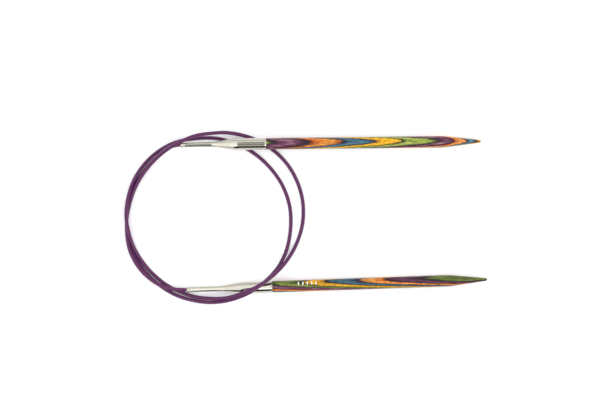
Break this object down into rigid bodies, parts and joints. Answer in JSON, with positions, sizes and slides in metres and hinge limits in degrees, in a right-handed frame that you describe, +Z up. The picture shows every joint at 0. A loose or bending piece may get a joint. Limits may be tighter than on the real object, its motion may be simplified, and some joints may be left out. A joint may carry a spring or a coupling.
{
  "type": "circular knitting needle",
  "caption": "Fixed circular knitting needle with rigid laminated-wood tips, swaged metal ferrules and a flexible nylon cord, laid flat in loose loops.",
  "frame": {"origin": "on the table, under the middle of the box round both needles without the cord", "axes": "+X from the ferrules towards the tips, +Y from needle B towards needle A, +Z up from the table"},
  "size_m": [0.1577, 0.0752, 0.0088],
  "materials": {
    "wood_green": "dyed birch veneer, satin lacquer",
    "wood_purple": "dyed birch veneer, satin lacquer",
    "wood_orange": "dyed birch veneer, satin lacquer",
    "wood_blue": "dyed birch veneer, satin lacquer",
    "wood_yellow": "dyed birch veneer, satin lacquer",
    "nickel": "polished nickel plate",
    "nylon": "smooth extruded monofilament, soft gloss"
  },
  "bodies": {
    "cord_loops": {"cord_loops": "nylon"},
    "lead_a": {"cord_lead_a": "nylon"},
    "lead_b": {"cord_lead_b": "nylon"},
    "needle_a": {"needle_a_ferrule": "nickel", "needle_a_cord_end": "nylon", "needle_a_ply_01_green": "wood_green", "needle_a_ply_02_purple": "wood_purple", "needle_a_ply_03_orange": "wood_orange", "needle_a_ply_04_blue": "wood_blue", "needle_a_ply_05_yellow": "wood_yellow", "needle_a_ply_06_green": "wood_green", "needle_a_ply_07_purple": "wood_purple", "needle_a_ply_08_orange": "wood_orange", "needle_a_ply_09_blue": "wood_blue", "needle_a_ply_10_yellow": "wood_yellow", "needle_a_ply_11_green": "wood_green", "needle_a_ply_12_purple": "wood_purple"},
    "needle_b": {"needle_b_ferrule": "nickel", "needle_b_cord_end": "nylon", "needle_b_ply_01_green": "wood_green", "needle_b_ply_02_purple": "wood_purple", "needle_b_ply_03_orange": "wood_orange", "needle_b_ply_04_blue": "wood_blue", "needle_b_ply_05_yellow": "wood_yellow", "needle_b_ply_06_green": "wood_green", "needle_b_ply_07_purple": "wood_purple", "needle_b_ply_08_orange": "wood_orange", "needle_b_ply_09_blue": "wood_blue", "needle_b_ply_10_yellow": "wood_yellow", "needle_b_ply_11_green": "wood_green", "needle_b_ply_12_purple": "wood_purple"}
  },
  "joints": [
    {"name": "needle_a_swing", "type": "hinge", "parent": "cord_loops", "child": "lead_a", "pos_m": [-0.07212, 0.02869, 0.0052], "axis": [0, 0, 1], "range_deg": [-20, 5], "stiffness_Nm_per_rad": 0.02},
    {"name": "needle_a_roll", "type": "hinge", "parent": "lead_a", "child": "needle_a", "pos_m": [-0.0665, 0.0304, 0.0059], "axis": [0.9995, 0.0119, -0.0297], "range_deg": [-180, 180], "stiffness_Nm_per_rad": 0.0005},
    {"name": "needle_b_swing", "type": "hinge", "parent": "cord_loops", "child": "lead_b", "pos_m": [-0.06979, -0.03232, 0.00259], "axis": [0, 0, 1], "range_deg": [-3, 3], "stiffness_Nm_per_rad": 0.02},
    {"name": "needle_b_roll", "type": "hinge", "parent": "lead_b", "child": "needle_b", "pos_m": [-0.0638, -0.0326, 0.00253], "axis": [0.9994, 0.0344, 0], "range_deg": [-180, 180], "stiffness_Nm_per_rad": 0.0005}
  ]
}
